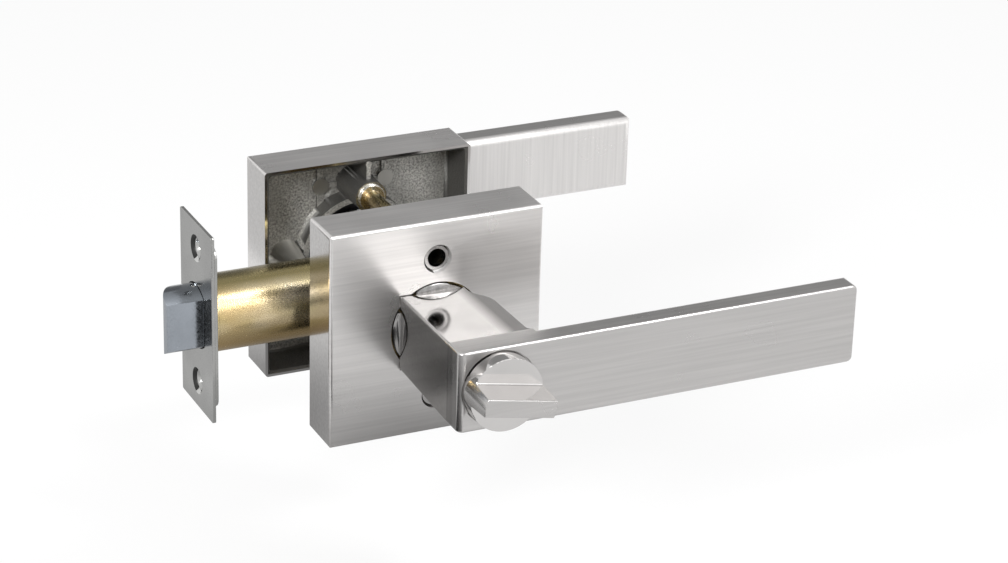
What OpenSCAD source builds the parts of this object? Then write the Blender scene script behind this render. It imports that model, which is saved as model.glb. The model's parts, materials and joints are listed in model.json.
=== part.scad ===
// Tubular privacy lever set for an inside door: two levers on square rosettes, a turn button and a
// spring latch. X runs along the levers, away from the door's edge. Y runs through the door, from the
// privacy side to the far side. Z is up. The origin is on the spindle's axis, half way through the door.

/* [Door] */
// Thickness of the door between the two rosettes
door_t = 35; // [29:0.5:50]
// Distance from the door's edge to the spindle's axis
backset = 60; // [60:0.5:70]

/* [Rosettes] */
// Side of the square rosette
rose_w = 65; // [58:0.5:80]
// Depth of a rosette, from the door to its face
rose_d = 15; // [12.5:0.5:20]
// Thickness of a rosette's side walls
rose_wall = 1.5; // [1.2:0.1:2.5]
// Thickness of a rosette's face
face_t = 2; // [1.5:0.1:3]
// Rounding of a rosette's outer edges
rose_edge = 1; // [0.3:0.1:1.4]
// Bevel inside the rosette's open mouth
mouth_bevel = 0.7; // [0.2:0.1:0.9]
// Fillet inside the pan, round its floor and up its corners
pan_fillet = 1.2; // [0.3:0.1:1.3]
// Wall of the cast ring that holds the return spring
ring_wall = 1.8; // [1.2:0.1:2.2]
// Height of that ring above the pan's floor
ring_h = 6.4; // [6:0.1:7.5]
// Distance between the two screw posts
post_pitch = 42; // [41:0.5:50]

/* [Screw posts] */
// Outer radius of a post's shaft
post_r = 2.4; // [2.2:0.1:3.2]
// Radius of its screw thread
post_thread_r = 1.65; // [1.4:0.05:1.7]
// Radius of the flange that seats on the rosette's boss
flange_r = 3.95; // [3.5:0.05:5]
// Thickness of that flange
flange_t = 1; // [0.8:0.1:2]
// How far a screw boss stands out of the rosette towards the door's middle
boss_proud = 1.9; // [0.5:0.1:3]
// Radius of the screw's hole in the privacy rosette
screw_r = 2.75; // [2.3:0.05:3]
// Wall of the sleeve round that hole
sleeve_wall = 0.9; // [0.6:0.05:1]
// How far the sleeve's end lies below the face
sleeve_drop = 0.9; // [0.5:0.1:2]
// Radius of the eye in the face round the sleeve
sleeve_eye_r = 4.25; // [4:0.05:4.6]
// Depth of the groove between the eye and the sleeve
sleeve_groove = 5; // [3:0.5:7]

/* [Levers] */
// Length of a lever's blade, heel included
lever_l = 124; // [100:1:150]
// Height of the blade
lever_h = 24; // [23:0.5:29]
// Thickness of the blade
lever_t = 8; // [6.5:0.5:10]
// Distance from the rosette's face to the lever's outer face
reach = 42; // [40:0.5:50]
// Distance from the spindle's axis to the heel of the blade
heel = 12; // [12:0.5:14]
// Height of the neck where it leaves the rosette
neck_h = 22.5; // [20:0.5:23.5]
// Width of the neck's free side where it leaves the rosette, from the axis
neck_side = 8; // [7:0.5:9]
// Rounding of the blade's edges on the side of the door
blade_back_r = 2.5; // [1:0.1:3]
// Rounding of the blade's outer edges
blade_edge_r = 0.5; // [0.2:0.1:1]
// Rounding of the blade's free corners, seen from the front
blade_tip_r = 1.5; // [0.5:0.1:3]
// Gap between the neck and the rosette's face
neck_gap = 0.5; // [0.3:0.1:1]
// Radius of the round collar that turns in the rosette
collar_r = 13.25; // [13:0.05:13.5]
// Radius of the shank behind the collar
shank_r = 9; // [8:0.1:10]
// Largest turn of a lever
lever_turn = 50; // [40:1:52]

/* [Turn button] */
// Radius of the button
button_r = 10.8; // [9.5:0.1:10.8]
// How far its disc stands out of the lever's face
disc_h = 5.3; // [4:0.1:7]
// How far the grip bar stands out of the disc
grip_h = 9; // [6:0.5:12]
// Thickness of the grip bar at its root
grip_root = 6.6; // [5:0.1:8]
// Thickness of the grip bar at its front
grip_front = 5.1; // [3:0.1:6]
// Tilt of the grip bar when the door is unlocked
grip_tilt = 11; // [0:1:30]
// Depth of the round seat in the lever's face
button_seat = 1.2; // [0.6:0.1:2]
// Radius of the button's journal in the lever
journal_r = 4.95; // [4.5:0.05:5.2]

/* [Spindle and lock] */
// Side of the square spindle
spindle_w = 8; // [7:0.1:9.6]
// Radius of the turn rod inside it
rod_r = 1.9; // [1.7:0.05:2]
// Travel of the lock dog for a quarter turn of the button
dog_travel = 0.9; // [0.5:0.1:1]
// Radius of the release hole in the far lever
release_r = 1.75; // [1.2:0.05:2]

/* [Latch] */
// Height of the faceplate
plate_h = 57.15; // [54:0.05:70]
// Width of the faceplate
plate_w = 25.4; // [25:0.1:28]
// Thickness of the faceplate, and of the backplate behind it
plate_t = 1; // [0.8:0.1:1.5]
// Height of the backplate
backplate_h = 49; // [48:0.5:54]
// Distance between the two faceplate screws
plate_pitch = 41.3; // [40:0.1:42]
// Radius of a faceplate screw's hole
plate_screw_r = 2.25; // [2:0.05:2.5]
// Outer radius of the barrel
barrel_r = 11.15; // [9.3:0.05:12.5]
// Wall of the barrel
barrel_wall = 1.1; // [0.8:0.05:1.3]
// Distance between the bolt's two flats
bolt_flats = 12.2; // [10.5:0.1:14.6]
// How far the bolt stands out of the faceplate
bolt_out = 11; // [10.5:0.5:13]
// Radius of the curve of the bolt's slanted nose
nose_r = 14; // [13:1:60]

/* [Fits] */
// Running clearance of a shaft in its bearing, on the radius
running = 0.05; // [0.03:0.01:0.09]
// Free gap between pieces that move past each other
free_gap = 0.3; // [0.3:0.05:0.4]
// Gap between pieces that are fitted together and don't move
seat_gap = 0.03; // [0.02:0.01:0.1]

/* [Hidden] */
$fn = 96;

nickel = [0.73, 0.71, 0.68];
cast_grey = [0.52, 0.51, 0.47];
yellow_zinc = [0.78, 0.68, 0.36];
bright_steel = [0.68, 0.68, 0.69];
blue_steel = [0.55, 0.59, 0.63];
dark_steel = [0.16, 0.16, 0.17];
spring_steel = [0.42, 0.42, 0.44];
brass = [0.80, 0.66, 0.32];

// Small overrun that keeps a cut's end faces clear of the solid's own
over = 1;
// Depth of the rosette's floor below its open rim
floor_z = rose_d - face_t;
// Inner half width of the rosette's pan
pan_half = rose_w / 2 - rose_wall;
ring_z = floor_z - ring_h;
// The ring leaves room for the circlip, the spring and the driver's tab round the shank
ring_in_r = max(shank_r + 7.3, collar_r + 3.05);
ring_r = ring_in_r + ring_wall;
post_y = post_pitch / 2;
// Screw bosses and their ribs
boss_top_r = 4.8;
boss_root_r = 5.2;
rib_t = 1.3;
rib_z = 0.3;
rib_bead_r = 0.9;
// Small tapped bosses beside the ring
side_boss_x = ring_r + 2.8;
side_boss_z = 1.5;
side_boss_top_r = 3.1;
side_boss_root_r = 5;
side_boss_hole_r = 1.4;
side_boss_hole_depth = 7;
side_rib_z = 4;
// Pads left on the floor by the die's ejector pins, each with a runner from the wall to the ring and a
// branch to the boss
pad_x = 10.3;
pad_y = 20.5;
pad_r = 2.5;
pad_h = 1;
runner_w = 2.2;
runner_h = 0.7;
branch_w = 1.6;
// Socket in the privacy rosette's boss that takes the end of a post
post_end_z = 4;
socket_r = post_r + 0.15;
spigot_r = 2.45;
spigot_l = 9;
thread_depth = 22;
// Stop that a post's end meets in the privacy rosette's boss, and its hole for the screw
stop_z = post_end_z + free_gap;
stop_t = 1.2;
stop_r = post_thread_r + 0.45;

// Bushing in the rosette's face
eye_gap = 0.2;
bush_in_r = collar_r + running;
bush_out_r = bush_in_r + 0.45;
eye_r = bush_out_r + eye_gap;
bush_flange_r = ring_in_r - 0.7;
bush_flange_t = 0.6;
bush_recess = 1.2;
// Driver plate, behind the bushing
driver_r = ring_in_r - 0.7;
driver_t = 1.4;
driver_z = floor_z - bush_flange_t - 0.1 - driver_t;
shank_flats = 2 * shank_r - 2;
lug_half = 8;
lug_mid = -100;
lug_reach = ring_r - 0.5;
tab_half = 6;
tab_mid = 60;
tab_l = 1.2;
window_margin = 1.5;
window_clear = 0.35;
// Return spring
spring_r = ring_in_r - 4.1;
spring_wire_r = 0.6;
spring_pitch = 1.35;
fixed_leg_mid = -45;
fixed_leg_reach = ring_r - 0.6;
// The free leg lies against the side of the driver's tab, at this angle
tab_r = spring_r + spring_wire_r + 0.5;
free_leg_mid = tab_mid - tab_half - asin((spring_wire_r + 0.15) / tab_r);
// The coil winds from the fixed leg towards smaller angles, so that the lever winds it tighter
spring_turns = 2 + (fixed_leg_mid - free_leg_mid) / 360;
spring_z = driver_z - 0.15 - spring_wire_r - spring_turns * spring_pitch;
leg_slot_w = 2 * spring_wire_r + 0.4;
// Lock plate on the privacy side's ring, and the circlips
lock_plate_t = 1.4;
lock_plate_z = ring_z - lock_plate_t;
lock_plate_r = ring_in_r + 0.9;
dog_w = 3;
dog_stem_w = 1;
dog_t = 1;
dog_z = lock_plate_z + (lock_plate_t - dog_t) / 2;
dog_low = rod_r - dog_travel + 0.35;
dog_neck = spindle_w / 2 + 1;
dog_tip = shank_r - 0.2;
lock_eye_r = dog_tip + dog_travel + 0.5;
rivet_angles = [35, 145, 215, 325];
rivet_ring_r = lock_plate_r - 0.9;
rivet_r = 0.6;
rivet_depth = 3;
clip_t = 1;
clip_groove_r = shank_r - 1.2;
clip_r = shank_r + 1.3;
clip_eye_r = 1;
clip_z = driver_z - clip_t - seat_gap;
shank_end = ring_z - 4.1;

// Lever
blade_back = rose_d + reach - lever_t;
blade_front = rose_d + reach;
blade_end = lever_l - heel;
neck_z = rose_d + neck_gap;
neck_draft = 0.6;
flare_z = rose_d + 2;
flare_l = 11;
neck_fillet = 1.5;
socket_w = spindle_w + free_gap;
socket_end = rose_d + 15;
spindle_end = socket_end - 2;
journal_end = rose_d + 26;
snap_z = rose_d + 35;
snap_t = 1;
snap_groove_r = journal_r - 0.75;
snap_out_r = journal_r + 0.6;

// Latch: faceplate, barrel and bolt
edge_x = -backset;
back_x = edge_x + plate_t;
barrel_x = back_x + plate_t;
barrel_end = -21;
barrel_in_r = barrel_r - barrel_wall;
bolt_r = barrel_in_r - 0.65;
barrel_flange_r = barrel_r + 0.75;
barrel_flange_t = 0.8;
plate_corner = 0.6;
backplate_corner = 3;
backplate_w = plate_w - 1;
sink_r = 4;
sink_mid_r = 3;
dimple_h = 0.9;
half_turn = lever_turn / 2;
// Hub: its journals leave a wall round the square hole's corners
hub_journal_r = socket_w * sqrt(0.5) + 1.1;
hub_r = hub_journal_r + 1.2;
hub_half = 4.2;
// Height of the drawbar's cross pins above the spindle's axis
pull_h = hub_r + 4.2;
finger_half = 1.6;
pull_pin_r = 1.5;
// Sideways distance between a finger's middle line and its cross pin: half the finger, the pin, a gap
pull_offset = finger_half + pull_pin_r + free_gap;
// Cross pin's place at rest, and its travel, for a finger that swings evenly about the upright
pull_x = (pull_offset - pull_h * sin(half_turn)) / cos(half_turn);
bolt_travel = 2 * pull_h * tan(half_turn);
bolt_tip = edge_x - bolt_out;
nose_flat_y = -3.3;
nose_far_x = edge_x - 1;
seat_x = -36;
seat_t = 1.2;
bolt_back = seat_x - bolt_travel - 0.5;
bolt_round_r = barrel_in_r - free_gap;
bolt_bore_r = 5.8;
bolt_bore_x = edge_x + 1;
bolt_pin_r = 1.2;
bolt_pin_x = bolt_bore_x - 1.6;
finger_half_y = 1.4;
finger_l = pull_h + 1.8;
// Half height of the case's tongue, which fits in the barrel
case_half = 4.5;
case_t = 1.2;
tongue_half = sqrt(pow(barrel_in_r - free_gap, 2) - pow(case_half + case_t, 2));
// Drawbar
bar_half_z = 2.8;
bar_half_y = 1.8;
bar_tip_x = bolt_bore_x - 3.4;
web_x = seat_x + seat_t + 1.8;
web_l = 6;
web_half_z = tongue_half;
arm_y = bar_half_y;
arm_t = 1.2;
arm_low = hub_r + 1;
arm_high = pull_h + 2;
// Case
case_x = barrel_end + 0.5;
case_end = 16;
case_half_z = arm_high + 1.8;
case_corner = 7;
tongue_x = seat_x + seat_t + 0.3;
case_tab_l = 4;
case_tab_xs = [-13, 4];
case_rivet_x = 13.2;
case_rivet_r = 1.8;
case_rivet_head_r = 2.6;
case_rivet_head_t = 0.8;
compression_r = 4.95;
compression_wire_r = 0.5;
compression_turns = 8;

// ---------- frames ----------

// Puts a piece drawn with z outwards from the door's face, and y up, on the privacy side
module front_side() translate([0, -door_t / 2, 0]) rotate([90, 0, 0]) children();

// The same on the far side, as its mirror image
module rear_side() mirror([0, 1, 0]) front_side() children();

// Extrudes a drawing in x and z along y, centred on y = 0
module along_y(h) translate([0, h / 2, 0]) rotate([90, 0, 0]) linear_extrude(h) children();

// Extrudes a drawing in y and z along x, from x0
module along_x(x0, l) translate([x0, 0, 0]) rotate([90, 0, 90]) linear_extrude(l) children();

// Plate drawn in x and z, that runs from y to y + t
module plate_xz(y, t) translate([0, y + t, 0]) rotate([90, 0, 0]) linear_extrude(t) children();

// Rod along x from x0 to x1
module rod_x(x0, x1, r) translate([x0, 0, 0]) rotate([0, 90, 0]) cylinder(h = x1 - x0, r = r);

// ---------- drawings ----------

// Rectangle between two corners, with a radius for each corner: low left, low right, high right, high left
module soft_rect(x0, y0, x1, y1, r) {
    corners = [[x0, y0, 1, 1], [x1, y0, -1, 1], [x1, y1, -1, -1], [x0, y1, 1, -1]];
    difference() {
        translate([x0, y0]) square([x1 - x0, y1 - y0]);
        for (i = [0:3]) if (r[i] > 0) {
            c = corners[i];
            translate([c.x + c[2] * r[i], c.y + c[3] * r[i]]) difference() {
                translate([c[2] > 0 ? -r[i] - over : 0, c[3] > 0 ? -r[i] - over : 0])
                    square(r[i] + over);
                circle(r[i]);
            }
        }
    }
}

module soft_square(w, r) soft_rect(-w / 2, -w / 2, w / 2, w / 2, [r, r, r, r]);

// Part of a ring between two angles, counted from +x towards +y
module sector(r0, r1, a0, a1) {
    steps = ceil((a1 - a0) / 6);
    far = r1 * 1.2;
    intersection() {
        difference() {
            circle(r1);
            circle(r0);
        }
        polygon(concat([[0, 0]], [for (i = [0:steps]) let (a = a0 + (a1 - a0) * i / steps)
            [far * cos(a), far * sin(a)]]));
    }
}

// Points of an arc about a centre, from angle a0 to a1
function arc_points(c, r, a0, a1, n) =
    [for (i = [0:n]) let (a = a0 + (a1 - a0) * i / n) [c.x + r * cos(a), c.y + r * sin(a)]];

// Points of the arc of radius r from p to q that bulges to the left of the way
function arc_between(p, q, r, n) =
    let (
        d = q - p,
        l = norm(d),
        c = (p + q) / 2 + sqrt(r * r - l * l / 4) * [d.y, -d.x] / l,
        a0 = atan2(p.y - c.y, p.x - c.x),
        a1 = atan2(q.y - c.y, q.x - c.x)
    )
    arc_points(c, r, a0, a1, n);

// Bolt's cross-section in y and z, grown by g all round
module bolt_section(g) intersection() {
    circle(bolt_r + g);
    square([bolt_flats + 2 * g, 2 * bolt_r + 2 * over], center = true);
}

// ---------- wire ----------

// Sweeps a round wire along a path that never runs parallel to z
module wire(path, r, sides = 8) {
    n = len(path);
    rings = [for (i = [0:n - 1])
        let (
            t = path[min(i + 1, n - 1)] - path[max(i - 1, 0)],
            side = cross(t, [0, 0, 1]) / norm(cross(t, [0, 0, 1])),
            up = cross(side, t) / norm(cross(side, t))
        )
        for (k = [0:sides - 1])
            path[i] + r * cos(360 * k / sides) * side + r * sin(360 * k / sides) * up];
    walls = [for (i = [0:n - 2], k = [0:sides - 1])
        let (a = i * sides + k, b = i * sides + (k + 1) % sides) [a, b, b + sides, a + sides]];
    first = [for (k = [sides - 1:-1:0]) k];
    last = [for (k = [0:sides - 1]) (n - 1) * sides + k];
    polyhedron(concat(rings), concat(walls, [first, last]));
}

// Points of a coil about z, from z = 0 up
function helix(r, pitch, turns, per_turn) = [for (i = [0:turns * per_turn])
    let (a = 360 * i / per_turn) [r * cos(a), r * sin(a), pitch * i / per_turn]];

// ---------- rosettes ----------

// Outside of a rosette: a square block with rounded corners and front edges
module rosette_block() intersection() {
    linear_extrude(rose_d) soft_square(rose_w, rose_edge);
    along_y(rose_w + over)
        soft_rect(-rose_w / 2, -over, rose_w / 2, rose_d, [0, 0, rose_edge, rose_edge]);
    along_x(-rose_w, 2 * rose_w)
        soft_rect(-rose_w / 2, -over, rose_w / 2, rose_d, [0, 0, rose_edge, rose_edge]);
}

// Hollow of the pan, with fillets round its floor and up its corners
module pan_hollow() {
    f = pan_fillet;
    intersection() {
        translate([0, 0, -over]) linear_extrude(floor_z + 2 * over) soft_square(2 * pan_half, f);
        along_y(2 * rose_w) soft_rect(-pan_half, -over, pan_half, floor_z, [0, 0, f, f]);
        along_x(-rose_w, 2 * rose_w) soft_rect(-pan_half, -over, pan_half, floor_z, [0, 0, f, f]);
    }
}

// Bevelled mouth of the pan
module pan_mouth() {
    wide = pan_half + mouth_bevel;
    profile = [[-wide - over, -over], [wide + over, -over], [pan_half, mouth_bevel],
        [-pan_half, mouth_bevel]];
    intersection() {
        along_y(2 * rose_w) polygon(profile);
        along_x(-rose_w, 2 * rose_w) polygon(profile);
    }
}

// Everything cast inside the pan
module pan_details() {
    translate([0, 0, ring_z]) cylinder(h = floor_z - ring_z + face_t / 2, r = ring_r);
    for (s = [-1, 1]) {
        translate([0, s * post_y, -boss_proud])
            cylinder(h = floor_z + boss_proud + face_t / 2, r1 = boss_top_r, r2 = boss_root_r);
        translate([-rib_t / 2, s > 0 ? post_y : -pan_half - over / 2, rib_z])
            cube([rib_t, pan_half - post_y + over / 2, floor_z - rib_z + face_t / 2]);
        translate([0, s * (pan_half - rib_bead_r / 2), rib_z]) cylinder(h = floor_z - rib_z, r = rib_bead_r);
        translate([s * side_boss_x, 0, side_boss_z])
            cylinder(h = floor_z - side_boss_z + face_t / 2, r1 = side_boss_top_r,
                r2 = side_boss_root_r);
        translate([s > 0 ? side_boss_x : -pan_half - over / 2, -rib_t / 2, side_rib_z])
            cube([pan_half - side_boss_x + over / 2, rib_t, floor_z - side_rib_z + face_t / 2]);
        for (t = [-1, 1]) {
            translate([s * pad_x, t * pad_y, floor_z - pad_h]) cylinder(h = pad_h + 0.5, r = pad_r);
            translate([s * pad_x - runner_w / 2, t > 0 ? 0 : -pan_half - over / 2, floor_z - runner_h])
                cube([runner_w, pan_half + over / 2, runner_h + 0.5]);
            translate([s > 0 ? 0 : -pad_x, t * pad_y - branch_w / 2, floor_z - runner_h])
                cube([pad_x, branch_w, runner_h + 0.5]);
        }
    }
}

// Window in the ring that the driver's lug swings in, and slot for the spring's fixed leg
module ring_openings() {
    play = window_margin + lug_half;
    translate([0, 0, driver_z - window_clear])
        linear_extrude(driver_t + 2 * window_clear)
            sector(ring_in_r - 0.5, ring_r + over, lug_mid - lever_turn - play, lug_mid + play);
    rotate([0, 0, fixed_leg_mid])
        translate([ring_in_r - 0.5, -leg_slot_w / 2, ring_z - over])
            cube([ring_wall + over, leg_slot_w, spring_z + spring_wire_r + 0.4 - ring_z + over]);
}

// Open-backed pan with its ring, bosses and ribs, without the screw holes
module rosette_body() difference() {
    union() {
        difference() {
            rosette_block();
            pan_hollow();
            pan_mouth();
        }
        pan_details();
    }
    translate([0, 0, ring_z - over]) cylinder(h = floor_z - ring_z + over, r = ring_in_r);
    translate([0, 0, floor_z - over]) cylinder(h = face_t + 2 * over, r = eye_r);
    ring_openings();
    for (s = [-1, 1])
        translate([s * side_boss_x, 0, side_boss_z - over])
            cylinder(h = side_boss_hole_depth + over, r = side_boss_hole_r);
}

// Cut through a screw boss: a post's socket, its stop, the screw's hole and the groove round its sleeve
module screw_way() {
    translate([0, 0, -boss_proud - over]) cylinder(h = stop_z + boss_proud + over, r = socket_r);
    cylinder(h = rose_d, r = stop_r);
    translate([0, 0, stop_z + stop_t]) cylinder(h = rose_d, r = screw_r);
    difference() {
        translate([0, 0, rose_d - sleeve_groove]) cylinder(h = sleeve_groove + over, r = sleeve_eye_r);
        cylinder(h = rose_d - sleeve_drop, r = screw_r + sleeve_wall);
    }
}

module front_rosette() color(nickel) front_side() difference() {
    rosette_body();
    for (s = [-1, 1]) translate([0, s * post_y, 0]) screw_way();
    for (a = rivet_angles) rotate([0, 0, a]) translate([rivet_ring_r, 0, ring_z - over])
        cylinder(h = rivet_depth - lock_plate_t + over + 0.2, r = rivet_r + seat_gap);
}

module rear_rosette() color(nickel) rear_side() difference() {
    rosette_body();
    for (s = [-1, 1]) translate([0, s * post_y, -boss_proud - over])
        cylinder(h = spigot_l + free_gap + over, r = spigot_r + seat_gap);
}

module bushing() difference() {
    union() {
        translate([0, 0, floor_z - bush_flange_t])
            cylinder(h = bush_flange_t + face_t - bush_recess, r = bush_out_r);
        translate([0, 0, floor_z - bush_flange_t]) cylinder(h = bush_flange_t, r = bush_flange_r);
    }
    translate([0, 0, floor_z - bush_flange_t - over])
        cylinder(h = bush_flange_t + face_t + 2 * over, r = bush_in_r);
}

module front_bushing() color(brass) front_side() bushing();
module rear_bushing() color(brass) rear_side() bushing();

module screw_posts() color(yellow_zinc) rear_side() for (s = [-1, 1])
    translate([0, s * post_y, 0]) difference() {
        union() {
            translate([0, 0, -boss_proud - flange_t]) cylinder(h = flange_t, r = flange_r);
            translate([0, 0, -boss_proud - flange_t]) cylinder(h = spigot_l + flange_t, r = spigot_r);
            translate([0, 0, -door_t - post_end_z])
                cylinder(h = door_t + post_end_z - boss_proud, r = post_r);
        }
        translate([0, 0, -door_t - post_end_z - over])
            cylinder(h = thread_depth + over, r = post_thread_r);
    }

// ---------- levers ----------

// Flat blade, sharp in front, with soft edges towards the door
module blade() intersection() {
    e = blade_edge_r;
    b = blade_back_r;
    along_y(lever_h + over) soft_rect(-heel, blade_back, blade_end, blade_front, [0, b, e, e]);
    along_x(-heel - over, lever_l + 2 * over)
        soft_rect(-lever_h / 2, blade_back, lever_h / 2, blade_front, [b, b, e, e]);
    translate([0, 0, blade_back - over]) linear_extrude(lever_t + 2 * over)
        soft_rect(-heel, -lever_h / 2, blade_end, lever_h / 2, [e, blade_tip_r, blade_tip_r, e]);
}

// Neck: straight on the heel's side, sweeping out to the blade on the other
module neck() {
    d = heel - neck_side;
    bend = (flare_l * flare_l / 4 + d * d / 4) / d;
    turn = asin(flare_l / 2 / bend);
    inside = blade_front - blade_edge_r - 0.1;
    plan = concat(
        [[-heel, inside], [-heel, blade_back], [-heel + neck_draft, neck_z], [neck_side, neck_z]],
        arc_points([neck_side + bend, flare_z], bend, 180, 180 - turn, 8),
        arc_points([heel - bend, flare_z + flare_l], bend, -turn, 0, 8),
        arc_points([heel + neck_fillet, blade_back - neck_fillet], neck_fillet, 180, 90, 6),
        [[heel + neck_fillet, inside]]);
    side = [[-neck_h / 2, neck_z], [neck_h / 2, neck_z], [lever_h / 2, blade_back],
        [lever_h / 2, inside], [-lever_h / 2, inside], [-lever_h / 2, blade_back]];
    intersection() {
        along_y(lever_h + over) polygon(plan);
        along_x(-heel - over, 2 * heel + 3 * over) polygon(side);
    }
}

// Collar, and the shank with two flats that carries the driver and the circlip
module shank() {
    translate([0, 0, driver_z + driver_t])
        cylinder(h = neck_z + 0.2 - driver_z - driver_t, r = collar_r);
    difference() {
        intersection() {
            translate([0, 0, shank_end]) cylinder(h = neck_z - shank_end, r = shank_r);
            translate([-shank_r, -shank_flats / 2, 0]) cube([2 * shank_r, shank_flats, rose_d + over]);
        }
        translate([0, 0, clip_z - seat_gap]) difference() {
            cylinder(h = clip_t + 2 * seat_gap, r = shank_r + over);
            translate([0, 0, -over]) cylinder(h = clip_t + 2 * over, r = clip_groove_r);
        }
    }
}

module lever_body() difference() {
    union() {
        blade();
        neck();
        shank();
    }
    translate([-socket_w / 2, -socket_w / 2, shank_end - over])
        cube([socket_w, socket_w, socket_end - shank_end + over]);
}

module front_lever() color(nickel) front_side() difference() {
    lever_body();
    translate([0, 0, socket_end - over])
        cylinder(h = journal_end - socket_end + 2 * over, r = rod_r + 0.6);
    translate([0, 0, journal_end]) cylinder(h = blade_front - journal_end, r = journal_r + running);
    translate([0, 0, snap_z]) cylinder(h = snap_t + 0.2, r = snap_out_r + 0.15);
    translate([0, 0, blade_front - button_seat]) cylinder(h = button_seat + over, r = button_r + 0.35);
    translate([-dog_w / 2 - free_gap, 0, dog_z - free_gap])
        cube([dog_w + 2 * free_gap, shank_r + over, dog_t + 2 * free_gap]);
}

module rear_lever() color(nickel) rear_side() difference() {
    lever_body();
    translate([0, 0, socket_end - over])
        cylinder(h = blade_front - socket_end + 2 * over, r = release_r);
}

// Plate keyed to the shank: its lug stops the lever at both ends, its tab carries the spring
module driver() {
    bore_r = shank_r + seat_gap;
    difference() {
        translate([0, 0, driver_z]) linear_extrude(driver_t) union() {
            circle(driver_r);
            sector(driver_r - 2, lug_reach, lug_mid - lug_half, lug_mid + lug_half);
        }
        intersection() {
            translate([0, 0, driver_z - over]) cylinder(h = driver_t + 2 * over, r = bore_r);
            translate([-bore_r, -shank_flats / 2 - seat_gap, 0])
                cube([2 * bore_r, shank_flats + 2 * seat_gap, rose_d]);
        }
    }
    translate([0, 0, driver_z - tab_l]) linear_extrude(tab_l + 0.2)
        sector(tab_r, driver_r, tab_mid - tab_half, tab_mid + tab_half);
}

module front_driver() color(dark_steel) front_side() driver();
module rear_driver() color(dark_steel) rear_side() driver();

// Torsion spring: one leg in the ring's slot, the other against the driver's tab
module return_spring() {
    steps = 40;
    top_z = spring_z + spring_turns * spring_pitch;
    fixed_leg = [for (r = [fixed_leg_reach, spring_r + 1.2])
        [r * cos(fixed_leg_mid), r * sin(fixed_leg_mid), spring_z]];
    coil = [for (i = [0:steps])
        let (f = i / steps, a = fixed_leg_mid - 360 * spring_turns * f)
        [spring_r * cos(a), spring_r * sin(a), spring_z + (top_z - spring_z) * f]];
    free_leg = [for (r = [spring_r + 1.2, driver_r - 0.4])
        [r * cos(free_leg_mid), r * sin(free_leg_mid), top_z]];
    wire(concat(fixed_leg, coil, free_leg), spring_wire_r);
}

module front_return_spring() color(spring_steel) front_side() return_spring();
module rear_return_spring() color(spring_steel) rear_side() return_spring();

// Retaining ring with two eyes for the pliers
module circlip() translate([0, 0, clip_z]) linear_extrude(clip_t) difference() {
    eye_at = clip_r - 0.2;
    union() {
        circle(clip_r);
        for (s = [-1, 1]) rotate(-90 + s * 14) translate([eye_at, 0]) circle(clip_eye_r);
    }
    circle(clip_groove_r + 2 * seat_gap);
    translate([-1.4, -clip_r - 3]) square([2.8, clip_r + 3]);
    for (s = [-1, 1]) rotate(-90 + s * 14) translate([eye_at, 0]) circle(clip_eye_r - 0.55);
}

module front_circlip() color(dark_steel) front_side() circlip();
module rear_circlip() color(dark_steel) rear_side() circlip();

// ---------- privacy lock ----------

module lock_plate() color(yellow_zinc) front_side()
    translate([0, 0, lock_plate_z]) linear_extrude(lock_plate_t) difference() {
        circle(lock_plate_r);
        circle(lock_eye_r);
        translate([-dog_w / 2 - free_gap, 0]) square([dog_w + 2 * free_gap, lock_eye_r + 2.5]);
        for (s = [-1, 1]) {
            translate([0, s * post_y]) circle(boss_root_r + free_gap);
            translate([s * side_boss_x, 0]) circle(side_boss_root_r);
        }
        for (a = rivet_angles) rotate(a) translate([rivet_ring_r, 0]) circle(rivet_r + seat_gap);
    }

module lock_plate_rivets() color(bright_steel) front_side()
    for (a = rivet_angles) rotate([0, 0, a]) translate([rivet_ring_r, 0, lock_plate_z]) {
        cylinder(h = rivet_depth, r = rivet_r);
        translate([0, 0, -0.5]) cylinder(h = 0.5, r1 = 0.7, r2 = 1.2);
    }

// Dog that the cam lifts out of the shank; it narrows to a stem that reaches the cam
module lock_dog() color(bright_steel) front_side() translate([0, 0, dog_z]) {
    translate([-dog_stem_w / 2, dog_low, 0]) cube([dog_stem_w, dog_neck - dog_low + 0.5, dog_t]);
    translate([-dog_w / 2, dog_neck, 0]) cube([dog_w, dog_tip - dog_neck, dog_t]);
}

// Button: a disc with a tapered grip bar across it, and a journal behind
module turn_button() color(nickel) front_side() rotate([0, 0, -grip_tilt]) difference() {
    union() {
        translate([0, 0, blade_front - button_seat + 0.2])
            cylinder(h = disc_h + button_seat - 0.2 - 0.3, r = button_r);
        translate([0, 0, blade_front + disc_h - 0.3]) cylinder(h = 0.3, r1 = button_r, r2 = button_r - 0.3);
        intersection() {
            translate([0, 0, blade_front]) cylinder(h = disc_h + grip_h, r = button_r);
            along_x(-button_r, 2 * button_r) polygon([
                [-grip_root / 2, blade_front + disc_h - 1], [grip_root / 2, blade_front + disc_h - 1],
                [grip_root / 2, blade_front + disc_h], [grip_front / 2, blade_front + disc_h + grip_h],
                [-grip_front / 2, blade_front + disc_h + grip_h], [-grip_root / 2, blade_front + disc_h],
            ]);
        }
        difference() {
            translate([0, 0, journal_end + 0.5])
                cylinder(h = blade_front - journal_end - 1, r = journal_r);
            translate([0, 0, snap_z]) difference() {
                cylinder(h = snap_t + 0.2, r = journal_r + over);
                cylinder(h = snap_t + 0.2, r = snap_groove_r);
            }
        }
    }
    translate([0, 0, journal_end]) cylinder(h = 9, r = rod_r + seat_gap);
}

// Open ring that springs into the lever's groove and keeps the button in
module button_snap_ring() color(spring_steel) front_side()
    translate([0, 0, snap_z + 0.1]) linear_extrude(snap_t) difference() {
        circle(snap_out_r);
        circle(snap_groove_r + 0.05);
        translate([0, -1.5]) square([snap_out_r + over, 3]);
    }

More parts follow.
